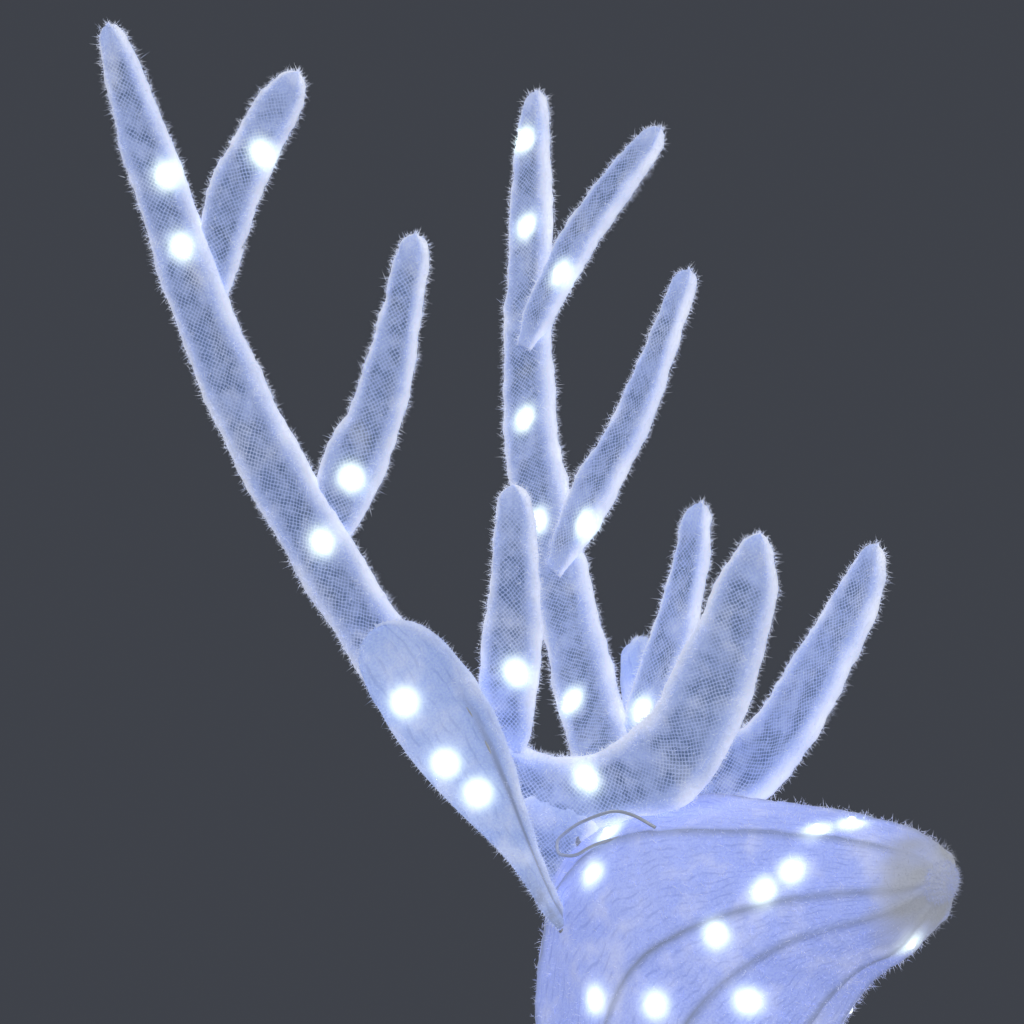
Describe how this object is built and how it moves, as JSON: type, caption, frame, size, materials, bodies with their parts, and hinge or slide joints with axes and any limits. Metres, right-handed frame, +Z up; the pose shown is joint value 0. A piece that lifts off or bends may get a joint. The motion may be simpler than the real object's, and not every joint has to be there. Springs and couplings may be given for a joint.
{
  "type": "light up yard reindeer",
  "caption": "Standing reindeer lawn figure: wire frame under knitted fabric sleeves with mini bulbs pushed through; head turns, ears swivel and antlers pull off.",
  "frame": {"origin": "on the ground, at the middle of the outline seen from above", "axes": "+X forward along the body, towards the nose; +Y to the animal's left; +Z up"},
  "size_m": [0.8415, 0.3578, 1.5141],
  "materials": {
    "body_knit": "loose white yarn knit, lit from inside",
    "antler_knit": "open white mesh knit with fuzzy edges",
    "nose_knit": "gathered knit, greyed by the wire behind it",
    "frame_wire": "white powder coat",
    "socket_steel": "white powder coat",
    "bulb_lens": "clear, cool white when lit",
    "clear_lead": "clear insulation",
    "hoof_plastic": "moulded, white",
    "inlet_plastic": "moulded, white"
  },
  "bodies": {
    "torso": {"hooves": "hoof_plastic", "leg_bulbs": "bulb_lens", "leg_frames": "frame_wire", "leg_front_left_skin": "body_knit", "leg_front_right_skin": "body_knit", "leg_rear_left_skin": "body_knit", "leg_rear_right_skin": "body_knit", "leg_sockets": "socket_steel", "neck_socket": "socket_steel", "power_inlet": "inlet_plastic", "tail_skin": "body_knit", "torso_bulbs": "bulb_lens", "torso_hoops": "frame_wire", "torso_light_string": "clear_lead", "torso_long_wires": "frame_wire", "torso_skin": "body_knit"},
    "head": {"head_bulbs": "bulb_lens", "head_hoops": "frame_wire", "head_lead_loop": "clear_lead", "head_light_string": "clear_lead", "head_long_wires": "frame_wire", "head_skin": "body_knit", "neck_post": "socket_steel", "nose_gather": "nose_knit", "socket_bridge": "socket_steel"},
    "antler_left": {"antler_left_beam_skin": "antler_knit", "antler_left_beam_wires": "frame_wire", "antler_left_brow_skin": "antler_knit", "antler_left_bulbs": "bulb_lens", "antler_left_light_string": "clear_lead", "antler_left_lower_skin": "antler_knit", "antler_left_middle_skin": "antler_knit", "antler_left_post": "frame_wire", "antler_left_tine_wires": "frame_wire", "antler_left_top_skin": "antler_knit"},
    "antler_right": {"antler_right_beam_skin": "antler_knit", "antler_right_beam_wires": "frame_wire", "antler_right_brow_skin": "antler_knit", "antler_right_bulbs": "bulb_lens", "antler_right_light_string": "clear_lead", "antler_right_lower_skin": "antler_knit", "antler_right_middle_skin": "antler_knit", "antler_right_post": "frame_wire", "antler_right_tine_wires": "frame_wire", "antler_right_top_skin": "antler_knit"},
    "ear_left": {"ear_left_bulbs": "bulb_lens", "ear_left_skin": "body_knit", "ear_left_wires": "frame_wire"},
    "ear_right": {"ear_right_bulbs": "bulb_lens", "ear_right_skin": "body_knit", "ear_right_wires": "frame_wire"}
  },
  "joints": [
    {"name": "head_turn", "type": "hinge", "parent": "torso", "child": "head", "pos_m": [0.226, 0, 0.75], "axis": [0, 0, 1], "range_deg": [-35, 35]},
    {"name": "antler_left_pull", "type": "slide", "parent": "head", "child": "antler_left", "axis": [0.045, 0.2719, 0.9613], "range_m": [0, 0.045]},
    {"name": "antler_right_pull", "type": "slide", "parent": "head", "child": "antler_right", "axis": [0.045, -0.2719, 0.9613], "range_m": [0, 0.045]},
    {"name": "ear_left_swivel", "type": "hinge", "parent": "head", "child": "ear_left", "pos_m": [0.21424, 0.04856, 1.06399], "axis": [-0.4279, 0.3366, 0.8388], "range_deg": [-30, 30]},
    {"name": "ear_right_swivel", "type": "hinge", "parent": "head", "child": "ear_right", "pos_m": [0.21424, -0.04856, 1.06399], "axis": [-0.4279, -0.3366, 0.8388], "range_deg": [-30, 30]}
  ]
}
